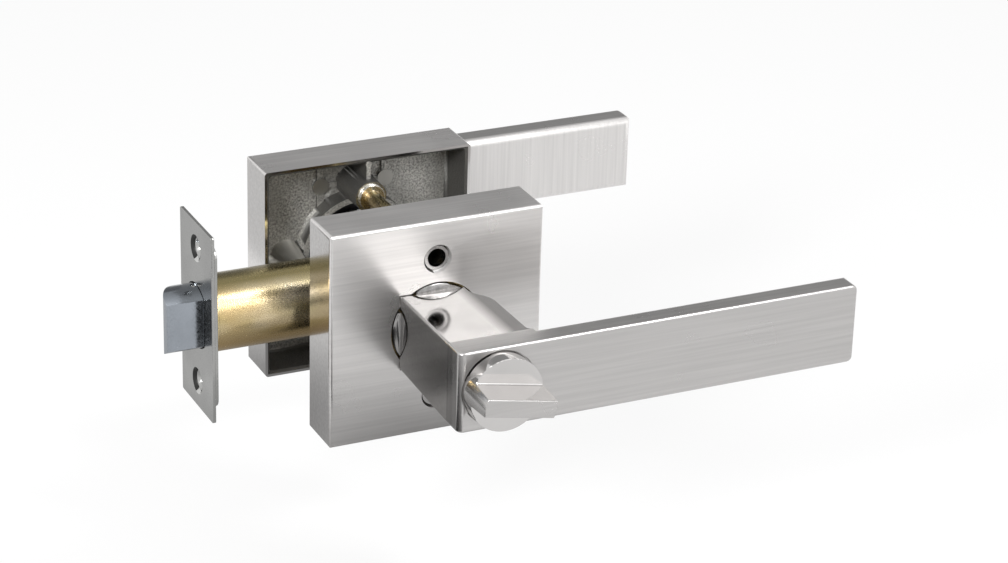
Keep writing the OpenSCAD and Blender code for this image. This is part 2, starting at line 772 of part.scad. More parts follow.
// Radius of the cam's ramp that stands under the dog once the button has turned by this angle
function cam_r(turned) = rod_r - dog_travel * (1 - max(0, turned) / 90);

// Rod from the button to the far lever, with a cam cut in it under the dog and a slot in its far end
module turn_rod() color(bright_steel) front_side() {
    far_end = -door_t - spindle_end + 1;
    rim = [for (turned = [96:-17:-40]) (rod_r + over) * [cos(90 + turned), sin(90 + turned)]];
    ramp = [for (turned = [-40:8:96]) cam_r(turned) * [cos(90 + turned), sin(90 + turned)]];
    difference() {
        translate([0, 0, far_end]) cylinder(h = journal_end + 8.5 - far_end, r = rod_r);
        translate([-0.4, -rod_r - over, far_end - over]) cube([0.8, 2 * rod_r + 2 * over, 1.5 + over]);
        translate([0, 0, dog_z - 0.5]) linear_extrude(dog_t + 1) polygon(concat(ramp, rim));
    }
}

// Square tube that turns both levers and the latch hub
module spindle() color(bright_steel) front_side() difference() {
    translate([-spindle_w / 2, -spindle_w / 2, -door_t - spindle_end])
        cube([spindle_w, spindle_w, door_t + 2 * spindle_end]);
    translate([0, 0, -door_t - spindle_end - over])
        cylinder(h = door_t + 2 * spindle_end + 2 * over, r = rod_r + free_gap);
    translate([-dog_stem_w / 2 - free_gap, 0, dog_z - free_gap])
        cube([dog_stem_w + 2 * free_gap, spindle_w, dog_t + 2 * free_gap]);
}

// ---------- latch ----------

module latch_faceplate() color(bright_steel) difference() {
    along_x(edge_x, plate_t)
        soft_rect(-plate_w / 2, -plate_h / 2, plate_w / 2, plate_h / 2, [1, 1, 1, 1] * plate_corner);
    along_x(edge_x - over, plate_t + 2 * over) bolt_section(free_gap);
    for (s = [-1, 1]) translate([edge_x, 0, s * plate_pitch / 2]) rotate([0, 90, 0])
        cylinder(h = plate_t, r1 = sink_r, r2 = sink_mid_r);
}

module latch_backplate() color(bright_steel) difference() {
    union() {
        along_x(back_x, plate_t) soft_rect(-backplate_w / 2, -backplate_h / 2, backplate_w / 2,
            backplate_h / 2, [1, 1, 1, 1] * backplate_corner);
        for (s = [-1, 1]) translate([back_x + plate_t, 0, s * plate_pitch / 2]) rotate([0, 90, 0])
            cylinder(h = dimple_h, r1 = sink_mid_r + 0.7, r2 = plate_screw_r + 0.5);
    }
    along_x(back_x - over, plate_t + 2 * over) bolt_section(free_gap);
    for (s = [-1, 1]) translate([back_x, 0, s * plate_pitch / 2]) rotate([0, 90, 0]) {
        cylinder(h = plate_t, r1 = sink_mid_r, r2 = plate_screw_r);
        cylinder(h = plate_t + dimple_h + over, r = plate_screw_r);
    }
}

module latch_barrel() color(yellow_zinc) difference() {
    union() {
        rod_x(barrel_x, barrel_end, barrel_r);
        rod_x(barrel_x, barrel_x + barrel_flange_t, barrel_flange_r);
    }
    rod_x(barrel_x - over, barrel_end + over, barrel_in_r);
}

module spring_seat() color(bright_steel) difference() {
    rod_x(seat_x, seat_x + seat_t, barrel_in_r - seat_gap);
    translate([seat_x - over, -bar_half_y - free_gap, -bar_half_z - free_gap])
        cube([seat_t + 2 * over, 2 * bar_half_y + 2 * free_gap, 2 * bar_half_z + 2 * free_gap]);
}

// Compression spring between the bolt and the seat
module bolt_spring() color(spring_steel) {
    l = seat_x - bolt_bore_x - 2 * compression_wire_r - 0.3;
    translate([bolt_bore_x + compression_wire_r + 0.15, 0, 0]) rotate([0, 90, 0])
        wire(helix(compression_r, l / compression_turns, compression_turns, 16), compression_wire_r);
}

// Bolt: flat-sided where it leaves the plate, round inside the barrel, with a curved slanted nose
module latch_bolt() color(blue_steel) difference() {
    half = bolt_flats / 2;
    tip = [bolt_tip, nose_flat_y];
    far = [nose_far_x, half];
    union() {
        intersection() {
            along_x(bolt_tip, bolt_back - bolt_tip) bolt_section(0);
            translate([0, 0, -bolt_r - over]) linear_extrude(2 * bolt_r + 2 * over) polygon(concat(
                [[bolt_back, half + over], [bolt_back, -half - over], [bolt_tip, -half - over]],
                arc_between(tip, far, nose_r, 16), [[nose_far_x, half + over]]));
        }
        rod_x(barrel_x + free_gap, bolt_back, bolt_round_r);
    }
    rod_x(bolt_bore_x, bolt_back + over, bolt_bore_r);
    translate([bar_tip_x - 0.2, -bar_half_y - seat_gap, -bar_half_z - seat_gap])
        cube([bolt_bore_x - bar_tip_x + over, 2 * bar_half_y + 2 * seat_gap, 2 * bar_half_z + 2 * seat_gap]);
    translate([bolt_pin_x, 0, -bolt_r - over]) cylinder(h = 2 * bolt_r + 2 * over, r = bolt_pin_r + seat_gap);
}

module bolt_pin() color(bright_steel)
    translate([bolt_pin_x, 0, -bolt_r + 0.4]) cylinder(h = 2 * bolt_r - 0.8, r = bolt_pin_r);

// Drawbar: a bar inside the bolt spring, a web, and two pairs of arms with a cross pin each
module latch_drawbar() color(yellow_zinc) {
    arm_start = web_x + web_l;
    step_x = barrel_end + 0.8;
    arm = [[arm_start - 1, 4.5], [step_x + 1.2, 4.5], [step_x + 3.2, arm_low],
        [pull_x + 2.6, arm_low], [pull_x + 2.6, arm_high], [step_x, arm_high], [step_x, web_half_z],
        [arm_start - 1, web_half_z]];
    difference() {
        translate([bar_tip_x, -bar_half_y, -bar_half_z])
            cube([web_x - bar_tip_x + 1, 2 * bar_half_y, 2 * bar_half_z]);
        translate([bolt_pin_x, 0, -bar_half_z - over])
            cylinder(h = 2 * bar_half_z + 2 * over, r = bolt_pin_r + seat_gap);
    }
    translate([web_x, -arm_y - arm_t, -web_half_z]) cube([web_l, 2 * arm_y + 2 * arm_t, 2 * web_half_z]);
    for (s = [-1, 1]) {
        for (y = [-arm_y - arm_t, arm_y]) plate_xz(y, arm_t)
            polygon([for (p = arm) [p.x, s * p.y]]);
        translate([pull_x, arm_y + arm_t, s * pull_h]) rotate([90, 0, 0])
            cylinder(h = 2 * arm_y + 2 * arm_t, r = pull_pin_r);
    }
}

// Hub between the case's sides: two fingers, one for each way a lever may be turned
module latch_hub() color(yellow_zinc) difference() {
    union() {
        plate_xz(-hub_half, 2 * hub_half) circle(hub_r);
        plate_xz(-case_half - case_t - 0.3, 2 * case_half + 2 * case_t + 0.6) circle(hub_journal_r);
        for (s = [-1, 1]) plate_xz(-finger_half_y, 2 * finger_half_y)
            rotate(s > 0 ? half_turn : 180 - half_turn)
                soft_rect(-finger_half, 0, finger_half, finger_l, [0, 0, 0.8, 0.8]);
    }
    translate([-socket_w / 2, -door_t / 2, -socket_w / 2]) cube([socket_w, door_t, socket_w]);
}

// Side of the latch case in x and z: its tongue goes into the barrel
module case_side() difference() {
    union() {
        soft_rect(case_x, -case_half_z, case_end, case_half_z, [0, case_corner, case_corner, 0]);
        translate([tongue_x, -tongue_half]) square([case_x - tongue_x + over, 2 * tongue_half]);
    }
    circle(hub_journal_r + running);
    translate([case_rivet_x, 0]) circle(case_rivet_r + seat_gap);
}

module latch_case() color(yellow_zinc) {
    plate_xz(case_half, case_t) case_side();
    for (s = [-1, 1]) {
        z = s > 0 ? case_half_z - case_t : -case_half_z;
        translate([case_x, -case_half, z])
            cube([case_end - case_corner - case_x, 2 * case_half + case_t / 2, case_t]);
        for (x = case_tab_xs) translate([x, -case_half - case_t, z])
            cube([case_tab_l, case_t + 1, case_t]);
    }
}

module latch_case_cover() color(yellow_zinc) plate_xz(-case_half - case_t, case_t) difference() {
    case_side();
    for (s = [-1, 1], x = case_tab_xs)
        translate([x - seat_gap, s > 0 ? case_half_z - case_t - seat_gap : -case_half_z - over])
            square([case_tab_l + 2 * seat_gap, case_t + over + seat_gap]);
}

module latch_case_rivet() color(bright_steel) {
    reach_y = case_half + case_t;
    plate_xz(-reach_y, 2 * reach_y) translate([case_rivet_x, 0]) circle(case_rivet_r);
    for (s = [-1, 1]) plate_xz(s > 0 ? reach_y : -reach_y - case_rivet_head_t, case_rivet_head_t)
        translate([case_rivet_x, 0]) circle(case_rivet_head_r);
}

front_rosette();
front_bushing();
front_lever();
front_driver();
front_return_spring();
front_circlip();
lock_plate();
lock_plate_rivets();
lock_dog();
turn_button();
button_snap_ring();
turn_rod();
spindle();
rear_rosette();
screw_posts();
rear_bushing();
rear_lever();
rear_driver();
rear_return_spring();
rear_circlip();
latch_faceplate();
latch_backplate();
latch_barrel();
spring_seat();
bolt_spring();
latch_bolt();
bolt_pin();
latch_drawbar();
latch_hub();
latch_case();
latch_case_cover();
latch_case_rivet();
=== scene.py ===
"""Looks of a privacy door lever set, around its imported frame.

The file is laid out as an add-on and run as a script: the Door Lever panel lists one operator for
each group of pieces, and main() calls them in order.
"""

import json
import math

import bpy
from mathutils import Matrix, Vector


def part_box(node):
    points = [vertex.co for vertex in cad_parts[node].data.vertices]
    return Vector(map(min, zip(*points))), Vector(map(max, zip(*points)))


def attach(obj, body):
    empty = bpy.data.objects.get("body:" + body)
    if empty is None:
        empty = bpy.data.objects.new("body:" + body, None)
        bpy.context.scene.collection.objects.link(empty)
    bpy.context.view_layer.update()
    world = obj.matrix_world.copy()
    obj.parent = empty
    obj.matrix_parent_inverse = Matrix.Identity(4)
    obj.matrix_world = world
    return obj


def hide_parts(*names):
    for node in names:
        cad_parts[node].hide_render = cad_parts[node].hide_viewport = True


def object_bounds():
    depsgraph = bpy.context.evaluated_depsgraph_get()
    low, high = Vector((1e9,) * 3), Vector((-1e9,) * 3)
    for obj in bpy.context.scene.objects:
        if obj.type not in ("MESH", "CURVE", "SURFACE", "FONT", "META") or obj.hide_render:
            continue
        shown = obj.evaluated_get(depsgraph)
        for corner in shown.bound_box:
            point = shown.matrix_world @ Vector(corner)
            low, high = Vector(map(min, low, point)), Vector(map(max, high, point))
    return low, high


bl_info = {
    "name": "Door Lever Set",
    "version": (1, 0, 0),
    "blender": (4, 5, 0),
    "location": "View3D > Sidebar > Door Lever",
    "description": "Finishes, softened edges and studio for a privacy door lever set",
    "category": "Object",
}

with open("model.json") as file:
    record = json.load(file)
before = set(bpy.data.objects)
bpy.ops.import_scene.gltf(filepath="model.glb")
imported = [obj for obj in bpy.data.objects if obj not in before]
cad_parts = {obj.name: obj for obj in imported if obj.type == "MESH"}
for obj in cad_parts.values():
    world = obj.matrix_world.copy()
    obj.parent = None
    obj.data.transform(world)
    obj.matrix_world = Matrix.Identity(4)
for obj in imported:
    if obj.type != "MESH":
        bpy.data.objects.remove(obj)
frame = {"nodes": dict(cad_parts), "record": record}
CAD_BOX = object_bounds()
MM = 0.001
# Places that the finishes and the stage need, from the frame
ROSE_LOW, ROSE_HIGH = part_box("front_rosette")
LOWEST_Z = CAD_BOX[0].z
# Half of a blade's height, which is also how far the heel reaches past the lever's axis
LEVER_HALF = 12 * MM


# ---------------------------------------------------------------- sizes and colours

class DoorLeverSizes(bpy.types.PropertyGroup):
    """Sizes of the softened edges, in metres"""
    rosette_edge: bpy.props.FloatProperty(
        name="Rosette edge", description="Width of the bevel on a rosette's edges",
        default=0.18 * MM, min=0, unit="LENGTH")
    lever_edge: bpy.props.FloatProperty(
        name="Lever edge", description="Rounding of the long edges of a lever's neck and heel",
        default=0.7 * MM, min=0, unit="LENGTH")
    heel_corner: bpy.props.FloatProperty(
        name="Heel corner", description="Rounding of the upright corner in front of a lever's heel",
        default=2 * MM, min=0, unit="LENGTH")
    tip_corner: bpy.props.FloatProperty(
        name="Tip corner", description="Rounding of the two corners at the end of a blade",
        default=1.7 * MM, min=0, unit="LENGTH")
    button_edge: bpy.props.FloatProperty(
        name="Button edge", description="Rounding round the front of the turn button's grip",
        default=0.25 * MM, min=0, unit="LENGTH")
    button_root: bpy.props.FloatProperty(
        name="Button root", description="Fillet between the turn button's grip and its disc",
        default=0.45 * MM, min=0, unit="LENGTH")
    plate_edge: bpy.props.FloatProperty(
        name="Plate edge", description="Width of the bevel on the edges of the latch's plates",
        default=0.12 * MM, min=0, unit="LENGTH")
    bolt_edge: bpy.props.FloatProperty(
        name="Bolt edge", description="Width of the bevel on the latch bolt's edges",
        default=0.45 * MM, min=0, unit="LENGTH")
    small_edge: bpy.props.FloatProperty(
        name="Small edge", description="Width of the bevel on the small steel pieces inside",
        default=0.1 * MM, min=0, unit="LENGTH")
    wire_growth: bpy.props.FloatProperty(
        name="Wire growth", description="Growth of a spring's wire that makes up for the smoothing",
        default=0.03 * MM, min=0, unit="LENGTH")


class DoorLeverFinishes(bpy.types.PropertyGroup):
    """Colours and roughness of the finishes"""
    nickel: bpy.props.FloatVectorProperty(
        name="Satin nickel", description="Colour of the brushed nickel plating",
        subtype="COLOR", size=3, default=(0.67, 0.655, 0.645), min=0, max=1)
    nickel_roughness: bpy.props.FloatProperty(
        name="Nickel roughness", description="Roughness of the brushed nickel",
        subtype="FACTOR", default=0.3, min=0, max=1)
    side_roughness: bpy.props.FloatProperty(
        name="Side roughness", description="Roughness of the polished narrow sides",
        subtype="FACTOR", default=0.12, min=0, max=1)
    casting: bpy.props.FloatVectorProperty(
        name="Raw casting", description="Colour of the unplated zinc inside the rosettes",
        subtype="COLOR", size=3, default=(0.5, 0.49, 0.46), min=0, max=1)
    gold: bpy.props.FloatVectorProperty(
        name="Yellow zinc", description="Main colour of the yellow passivated zinc plating",
        subtype="COLOR", size=3, default=(0.9, 0.79, 0.62), min=0, max=1)
    olive: bpy.props.FloatVectorProperty(
        name="Zinc olive", description="Olive tint of the passivated plating",
        subtype="COLOR", size=3, default=(0.5, 0.42, 0.2), min=0, max=1)
    brown: bpy.props.FloatVectorProperty(
        name="Zinc brown", description="Brown tint of the passivated plating",
        subtype="COLOR", size=3, default=(0.56, 0.4, 0.19), min=0, max=1)
    plate: bpy.props.FloatVectorProperty(
        name="Plate steel", description="Colour of the faceplate",
        subtype="COLOR", size=3, default=(0.42, 0.42, 0.41), min=0, max=1)
    bolt: bpy.props.FloatVectorProperty(
        name="Bolt steel", description="Colour of the sintered latch bolt",
        subtype="COLOR", size=3, default=(0.36, 0.39, 0.43), min=0, max=1)
    # The drivers' and circlips' near black is partly painted shade deep inside the rosettes
    dark: bpy.props.FloatVectorProperty(
        name="Black steel", description="Colour of the blackened drivers and circlips",
        subtype="COLOR", size=3, default=(0.06, 0.06, 0.065), min=0, max=1)
    brass: bpy.props.FloatVectorProperty(
        name="Brass", description="Colour of the bushings",
        subtype="COLOR", size=3, default=(0.55, 0.42, 0.2), min=0, max=1)


# ---------------------------------------------------------------- node helpers

class Finish:
    """A material under construction, with its nodes, its shader and the object coordinates."""

    def __init__(self, name, color, metallic, roughness):
        self.material = bpy.data.materials.new(name)
        self.material.use_nodes = True
        self.nodes = self.material.node_tree.nodes
        self.links = self.material.node_tree.links
        self.shader = self.nodes["Principled BSDF"]
        self.shader.inputs["Base Color"].default_value = (*color, 1)
        self.shader.inputs["Metallic"].default_value = metallic
        self.shader.inputs["Roughness"].default_value = roughness
        texture = self.nodes.new("ShaderNodeTexCoord")
        self.coordinates = texture.outputs["Object"]
        self.normal = texture.outputs["Normal"]
        self.bump_normal = None

    def node(self, kind, **settings):
        """New node, with each setting made on the node itself or on the input of that name."""
        made = self.nodes.new(kind)
        for key, value in settings.items():
            if hasattr(made, key):
                setattr(made, key, value)
            else:
                made.inputs[key.replace("_", " ")].default_value = value
        return made

    def stretched(self, scale):
        """Object coordinates, in metres, times a scale for each axis."""
        mapping = self.node("ShaderNodeMapping", Scale=scale)
        self.links.new(self.coordinates, mapping.inputs["Vector"])
        return mapping.outputs["Vector"]

    def noise(self, scale, detail=2.0, vector=None):
        """Noise over the object coordinates, or over another vector."""
        made = self.node("ShaderNodeTexNoise", Scale=scale, Detail=detail)
        self.links.new(vector or self.coordinates, made.inputs["Vector"])
        return made.outputs["Fac"]

    def spread(self, value, low, high, start=0.3, end=0.7):
        """Maps the middle of a noise's range, or start to end, onto low to high."""
        made = self.node("ShaderNodeMapRange")
        self.links.new(value, made.inputs["Value"])
        limits = (("From Min", start), ("From Max", end), ("To Min", low), ("To Max", high))
        for socket, number in limits:
            if isinstance(number, (int, float)):
                made.inputs[socket].default_value = number
            else:
                self.links.new(number, made.inputs[socket])
        return made.outputs["Result"]

    def mix(self, factor, first, second):
        """Colour between two colours, or outputs, by a factor."""
        made = self.node("ShaderNodeMix", data_type="RGBA")
        self.links.new(factor, made.inputs["Factor"])
        for socket, value in (("A", first), ("B", second)):
            target = next(i for i in made.inputs if i.name == socket and i.type == "RGBA")
            if isinstance(value, bpy.types.NodeSocket):
                self.links.new(value, target)
            else:
                target.default_value = (*value, 1)
        return next(o for o in made.outputs if o.type == "RGBA")

    def mottled(self, value, color, dark, light):
        """The colour, from a darker to a lighter shade of it as the value rises."""
        return self.mix(self.spread(value, 0, 1), shade(color, dark), shade(color, light))

    def math(self, operation, first, second):
        """Result of an operation on two numbers or outputs."""
        made = self.node("ShaderNodeMath", operation=operation)
        for socket, value in zip(made.inputs, (first, second)):
            if isinstance(value, (int, float)):
                socket.default_value = value
            else:
                self.links.new(value, socket)
        return made.outputs["Value"]

    def part(self, vector, axis):
        """One of a vector's three numbers."""
        split = self.node("ShaderNodeSeparateXYZ")
        self.links.new(vector, split.inputs["Vector"])
        return split.outputs[axis.upper()]

    def facing(self, axis, start=0.8, end=0.97):
        """1 where the surface faces along an axis of the object, either way, and 0 elsewhere."""
        size = self.math("ABSOLUTE", self.part(self.normal, axis), 0)
        return self.spread(size, 0, 1, start, end)

    def bump(self, height, distance, strength):
        """Adds relief, on top of what was added before; its strength may vary over the surface."""
        made = self.node("ShaderNodeBump", Distance=distance)
        if isinstance(strength, (int, float)):
            made.inputs["Strength"].default_value = strength
        else:
            self.links.new(strength, made.inputs["Strength"])
        self.links.new(height, made.inputs["Height"])
        if self.bump_normal:
            self.links.new(self.bump_normal, made.inputs["Normal"])
        self.bump_normal = made.outputs["Normal"]
        self.links.new(self.bump_normal, self.shader.inputs["Normal"])

    def drive(self, socket, output):
        """Lets an output set one of the shader's inputs."""
        self.links.new(output, self.shader.inputs[socket])


def shade(color, factor):
    """The colour made lighter or darker."""
    return tuple(min(1.0, c * factor) for c in color)


def finishes():
    """The colours and the roughness in the panel."""
    return bpy.context.scene.door_lever_finishes


def sizes():
    """The sizes in the panel."""
    return bpy.context.scene.door_lever_sizes


def once(maker):
    """Lets each material be made once, under the maker's name, and used by many pieces."""
    def made():
        name = maker.__name__ + "_finish"
        return bpy.data.materials.get(name) or maker(name).material
    return made


# ---------------------------------------------------------------- finishes

def brushed_nickel(name, along, tone=1.0):
    """Nickel brushed along one axis, with its narrow sides, which face along x, polished."""
    color = shade(finishes().nickel, tone)
    rough, polish = finishes().nickel_roughness, finishes().side_roughness
    made = Finish(name, color, 1.0, rough)
    lines = [1.0, 1.0, 1.0]
    lines["xyz".index(along)] = 0.02
    fine = made.noise(5200, 2.0, made.stretched(lines))
    streaks = made.noise(1100, 3.0, made.stretched(lines))
    clouds = made.noise(55, 3.0)
    polished = made.facing("x")
    satin = made.math("SUBTRACT", 1.0, polished)
    made.drive("Base Color", made.mottled(streaks, color, 0.93, 1.06))
    brushed = made.spread(clouds, rough - 0.04, rough + 0.05)
    side = made.spread(clouds, polish - 0.03, polish + 0.04)
    level = made.math("ADD", made.math("MULTIPLY", brushed, satin),
                      made.math("MULTIPLY", side, polished))
    made.drive("Roughness", level)
    made.bump(fine, 0.02 * MM, made.math("MULTIPLY", satin, 0.5))
    made.bump(streaks, 0.03 * MM, made.math("MULTIPLY", satin, 0.3))
    made.bump(made.noise(700, 2.0), 0.01 * MM, 0.15)
    return made


@once
def satin_nickel(name):
    """Nickel plate brushed along x, on the rosettes"""
    return brushed_nickel(name, "x")


@once
def lever_nickel(name):
    """The same brushed plate, a little darker, on the levers and the button"""
    return brushed_nickel(name, "x", 0.74)


@once
def neck_side_nickel(name):
    """Nickel plate buffed up and down, at half the tone as painted shade, on a lever's neck at its
    heel side and on its collar
    """
    # Half the nickel's tone: painted shade
    color = shade(finishes().nickel, 0.5)
    made = Finish(name, color, 1.0, 0.16)
    streaks = made.noise(700, 3.0, made.stretched((1, 1, 0.05)))
    made.drive("Base Color", made.mottled(streaks, color, 0.9, 1.12))
    made.drive("Roughness", made.spread(streaks, 0.12, 0.2))
    made.bump(streaks, 0.02 * MM, 0.15)
    return made


@once
def upright_nickel(name):
    """Nickel plate brushed up and down, as on the side of a lever that faces the door"""
    return brushed_nickel(name, "z")


def buffed_nickel(name, tone):
    """Nickel plate buffed almost to a mirror."""
    color = shade(finishes().nickel, tone)
    polish = finishes().side_roughness
    made = Finish(name, color, 1.0, polish)
    clouds = made.noise(70, 3.0)
    made.drive("Base Color", made.mottled(clouds, color, 0.93, 1.04))
    made.drive("Roughness", made.spread(clouds, polish - 0.05, polish + 0.03))
    made.bump(made.noise(160, 2.0), 0.03 * MM, 0.12)
    return made


@once
def polished_nickel(name):
    """Buffed nickel in the screw holes, round the rosettes' rims and on the button"""
    return buffed_nickel(name, 0.86)


@once
def neck_nickel(name):
    """Buffed nickel above and below a lever's neck, with painted shade where the neck sweeps into
    the blade
    """
    made = buffed_nickel(name, 0.85)
    # Painted shade: the colour falls to a fifth between x of 4 mm and 8.5 mm
    color = shade(finishes().nickel, 0.2)
    across = made.spread(made.part(made.coordinates, "x"), 0, 1, 4 * MM, 8.5 * MM)
    plain = made.shader.inputs["Base Color"].links[0].from_socket
    made.drive("Base Color", made.mix(across, plain, color))
    return made


@once
def deep_casting(name):
    """Unplated zinc deep in a hole, darkened as painted shade"""
    return plain_metal(name, shade(finishes().casting, 0.2), 0.35, 2300, 0.05 * MM)


@once
def pad_casting(name):
    """Zinc pressed smooth on the ejector pads; on the walls of the side boss at the pan's latch
    side it is painted light
    """
    return plain_metal(name, shade(finishes().casting, 1.1), 0.42, 2300, 0.04 * MM)


@once
def faced_casting(name):
    """Zinc faced off bright at the end of a screw boss"""
    return plain_metal(name, shade(finishes().casting, 1.7), 0.2, 2300, 0.03 * MM)


@once
def raw_casting(name):
    """Unplated zinc as it leaves the die: matt and grainy, with painted shade on the walls"""
    color = finishes().casting
    made = Finish(name, color, 0.7, 0.5)
    grain = made.noise(1700, 3.0)
    specks = made.noise(4200, 2.0)
    patches = made.noise(110, 4.0)
    speckled = made.mix(made.spread(grain, 0, 1, 0.36, 0.64), shade(color, 0.5), shade(color, 1.35))
    stained = made.mix(made.spread(patches, 0, 0.6), speckled, shade(color, 0.7))
    # Painted shade: walls that don't face along y take a quarter of the colour
    made.drive("Base Color", made.mix(made.facing("y"), shade(color, 0.25), stained))
    made.drive("Roughness", made.spread(specks, 0.38, 0.62))
    made.bump(grain, 0.17 * MM, 0.85)
    made.bump(specks, 0.07 * MM, 0.6)
    return made


@once
def yellow_zinc(name):
    """Yellow zinc plate that drifts from gold to olive and brown, with painted shade: dark on top,
    brown underneath
    """
    gold, olive, brown = finishes().gold, finishes().olive, finishes().brown
    made = Finish(name, gold, 1.0, 0.18)
    drifts = made.noise(45, 3.0)
    bands = made.noise(120, 2.0, made.stretched((0.4, 1, 1)))
    mottled = made.mix(made.spread(bands, 0, 1), olive, gold)
    stained = made.mix(made.spread(drifts, 0, 0.8, 0.42, 0.68), mottled, brown)
    specks = made.noise(2600, 2.0)
    # Painted shade: faces turned up or down go dark olive, and faces turned down then go brown
    top_painted_shade = made.mix(made.facing("z", 0.66, 0.93), stained, shade(olive, 0.42))
    under = made.spread(made.part(made.normal, "z"), 0, 1, 0.1, -0.5)
    under_painted_shade = made.mix(under, top_painted_shade, shade(brown, 0.9))
    speckled = made.mix(made.spread(specks, 0, 0.35, 0.5, 0.75), under_painted_shade, shade(brown, 0.6))
    made.drive("Base Color", speckled)
    made.drive("Roughness", made.spread(specks, 0.2, 0.36))
    made.bump(specks, 0.05 * MM, 0.5)
    return made


@once
def pale_zinc(name):
    """Zinc plate whose yellow passivate has stayed thin, as on a post's flange"""
    return plain_metal(name, (0.9, 0.88, 0.83), 0.24)


@once
def sunk_steel(name):
    """Sheet steel burnished smooth in a countersink, and lightened as a painted highlight"""
    return plain_metal(name, shade(finishes().plate, 1.3), 0.12, 900, 0.03 * MM)


@once
def shaded_steel(name):
    """Steel darkened as painted shade inside a pierced hole and on the shaded half of its
    countersink
    """
    return plain_metal(name, shade(finishes().plate, 0.1), 0.4)


def plain_metal(name, color, roughness, grain_scale=1800, depth=0.03 * MM):
    """Metal with a fine grain and faint clouds."""
    made = Finish(name, color, 1.0, roughness)
    grain = made.noise(grain_scale, 3.0)
    clouds = made.noise(90, 3.0)
    made.drive("Base Color", made.mottled(clouds, color, 0.88, 1.04))
    made.drive("Roughness", made.spread(grain, max(0.05, roughness - 0.06), roughness + 0.08))
    made.bump(grain, depth, 0.4)
    return made


@once
def plate_steel(name):
    """Bright zinc-plated sheet steel"""
    return plain_metal(name, finishes().plate, 0.2, 900, 0.04 * MM)


@once
def turned_steel(name):
    """Bright turned and drawn steel"""
    return plain_metal(name, shade(finishes().plate, 1.15), 0.24)


@once
def bolt_steel(name):
    """Blue-grey sintered steel, with painted shade on the sides that face up and down"""
    color = finishes().bolt
    made = Finish(name, color, 1.0, 0.16)
    grain = made.noise(1500, 3.0)
    clouds = made.noise(90, 3.0)
    clouded = made.mottled(clouds, color, 0.88, 1.04)
    # Painted shade: the faces turned up or down take half the colour
    made.drive("Base Color", made.mix(made.facing("z"), clouded, shade(color, 0.5)))
    made.drive("Roughness", made.spread(grain, 0.1, 0.24))
    made.bump(grain, 0.02 * MM, 0.4)
    return made


@once
def black_steel(name):
    """Sheet steel with a black oxide; deep inside the rosettes its black is partly painted shade"""
    return plain_metal(name, finishes().dark, 0.4)


@once
def spring_wire(name):
    """Drawn spring wire"""
    return plain_metal(name, shade(finishes().plate, 0.8), 0.25, 2600, 0.02 * MM)


@once
def plain_brass(name):
    """Turned brass"""
    return plain_metal(name, shade(finishes().brass, 0.5), 0.25)


# ---------------------------------------------------------------- modelling helpers

def edit(*steps):
    """Runs edit mode operators on the whole of the active mesh."""
    bpy.ops.object.mode_set(mode="EDIT")
    bpy.ops.mesh.select_all(action="SELECT")
    for step in steps:
        step()
    bpy.ops.object.mode_set(mode="OBJECT")


def merge_close_points():
    """Edit step that merges the points which a bevel or a cut has left almost in one place."""
    bpy.ops.mesh.remove_doubles(threshold=0.002 * MM)


def make_faces_whole():
    """Edit step that removes the lines across flat faces."""
    bpy.ops.mesh.dissolve_limited(angle_limit=math.radians(0.5))


def copy_of(node, name):
    """New object with a node's mesh, whose loose triangles are joined at their corners."""
    bpy.ops.object.select_all(action="DESELECT")
    piece = bpy.data.objects.new(name, frame["nodes"][node].data.copy())
    bpy.context.scene.collection.objects.link(piece)
    bpy.context.view_layer.objects.active = piece
    piece.select_set(True)
    piece.data.materials.clear()
    edit(lambda: bpy.ops.mesh.remove_doubles(threshold=0.001 * MM))
    return piece


def apply(piece, kind, **settings):
    """Adds a modifier with these settings and applies it."""
    modifier = piece.modifiers.new("step", kind)
    for key, value in settings.items():
        setattr(modifier, key, value)
    bpy.ops.object.modifier_apply(modifier="step")


def select_faces(piece, rule):
    """Opens edit mode with only those faces selected for which the rule holds."""
    bpy.ops.object.mode_set(mode="EDIT")
    bpy.ops.mesh.select_mode(type="FACE")
    bpy.ops.mesh.select_all(action="DESELECT")
    bpy.ops.object.mode_set(mode="OBJECT")
    for face in piece.data.polygons:
        face.select = rule(face)
    bpy.ops.object.mode_set(mode="EDIT")


def bevel_where(piece, rule, width, segments):
    """Bevels, in edit mode, the edges for whose two ends the rule holds."""
    bpy.ops.object.mode_set(mode="EDIT")
    bpy.ops.mesh.select_mode(type="EDGE")
    bpy.ops.mesh.select_all(action="DESELECT")
    bpy.ops.object.mode_set(mode="OBJECT")
    mesh = piece.data
    for line in mesh.edges:
        line.select = bool(rule(*(mesh.vertices[i].co for i in line.vertices)))
    bpy.ops.object.mode_set(mode="EDIT")
    bpy.ops.mesh.bevel(offset=width, segments=segments, affect="EDGES", clamp_overlap=False)
    bpy.ops.mesh.select_mode(type="VERT")
    bpy.ops.object.mode_set(mode="OBJECT")


def block(name, low, high):
    """Box between two corners, with its place in its mesh."""
    bpy.ops.object.select_all(action="DESELECT")
    bpy.ops.mesh.primitive_cube_add(size=1, location=(Vector(low) + Vector(high)) / 2)
    made = bpy.context.object
    made.name = name
    made.scale = Vector(high) - Vector(low)
    bpy.ops.object.transform_apply(location=True, rotation=True, scale=True)
    return made


def cut(piece, tool):
    """Takes the tool's volume from the piece, and removes the tool."""
    bpy.ops.object.select_all(action="DESELECT")
    bpy.context.view_layer.objects.active = piece
    piece.select_set(True)
    apply(piece, "BOOLEAN", operation="DIFFERENCE", solver="EXACT", object=tool)
    bpy.data.objects.remove(tool)


def smooth(piece):
    """Smooth shading over soft edges, with flat faces that stay flat."""
    bpy.ops.object.shade_smooth_by_angle(angle=math.radians(40))
    apply(piece, "WEIGHTED_NORMAL", keep_sharp=True, weight=80)


